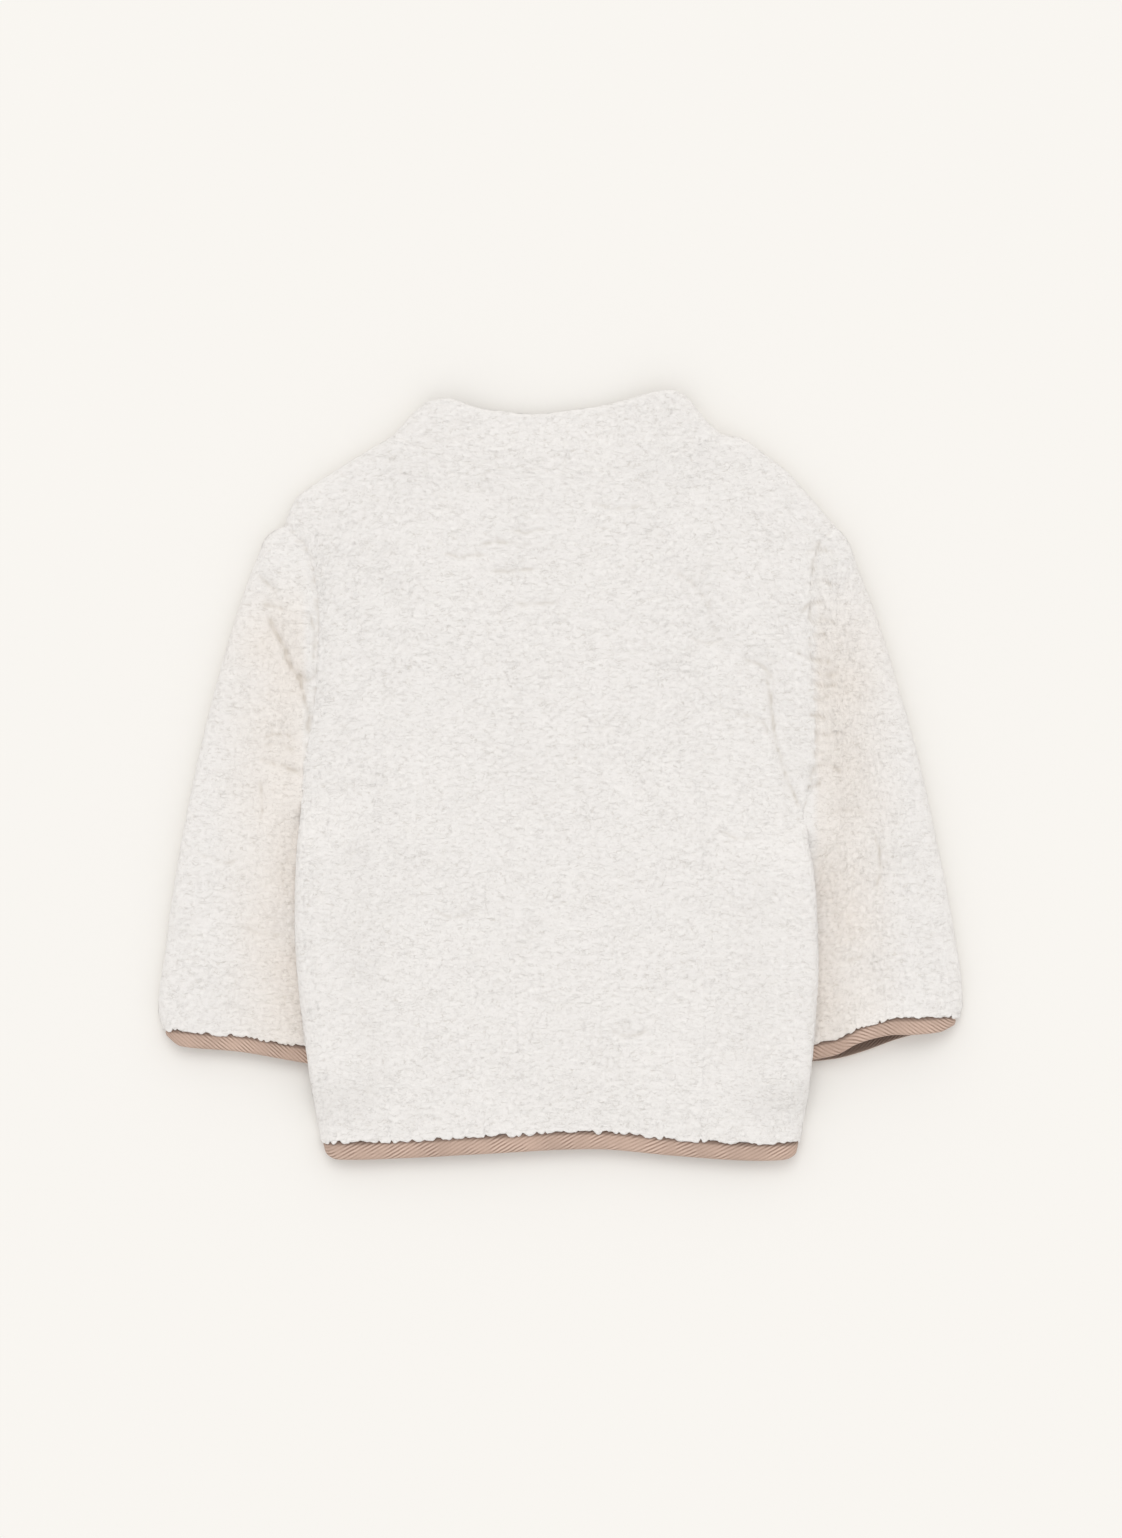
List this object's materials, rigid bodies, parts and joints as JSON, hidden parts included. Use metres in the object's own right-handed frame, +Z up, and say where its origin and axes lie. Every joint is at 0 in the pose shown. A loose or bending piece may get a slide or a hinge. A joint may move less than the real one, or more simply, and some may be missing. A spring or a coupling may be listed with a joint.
{
  "type": "child's fleece jacket",
  "caption": "Small child's long-sleeved teddy-fleece jacket with a stand collar and twill-bound hem and cuffs, laid flat with its back up.",
  "frame": {"origin": "middle of the jacket's underside, where it lies on the surface", "axes": "+Z up out of the surface, through the fronts and then the back; +Y from the hem to the collar; +X to the right as seen from above"},
  "size_m": [0.4234, 0.4059, 0.0225],
  "materials": {
    "fleece": "off-white curly teddy fleece, matt",
    "twill_tape": "pinkish brown cotton twill tape, matt"
  },
  "bodies": {
    "root": {"back": "fleece", "front_left": "fleece", "front_right": "fleece", "sleeve_left": "fleece", "sleeve_right": "fleece", "collar": "fleece", "hem_tape": "twill_tape", "cuff_tape_left": "twill_tape", "cuff_tape_right": "twill_tape"}
  },
  "joints": []
}
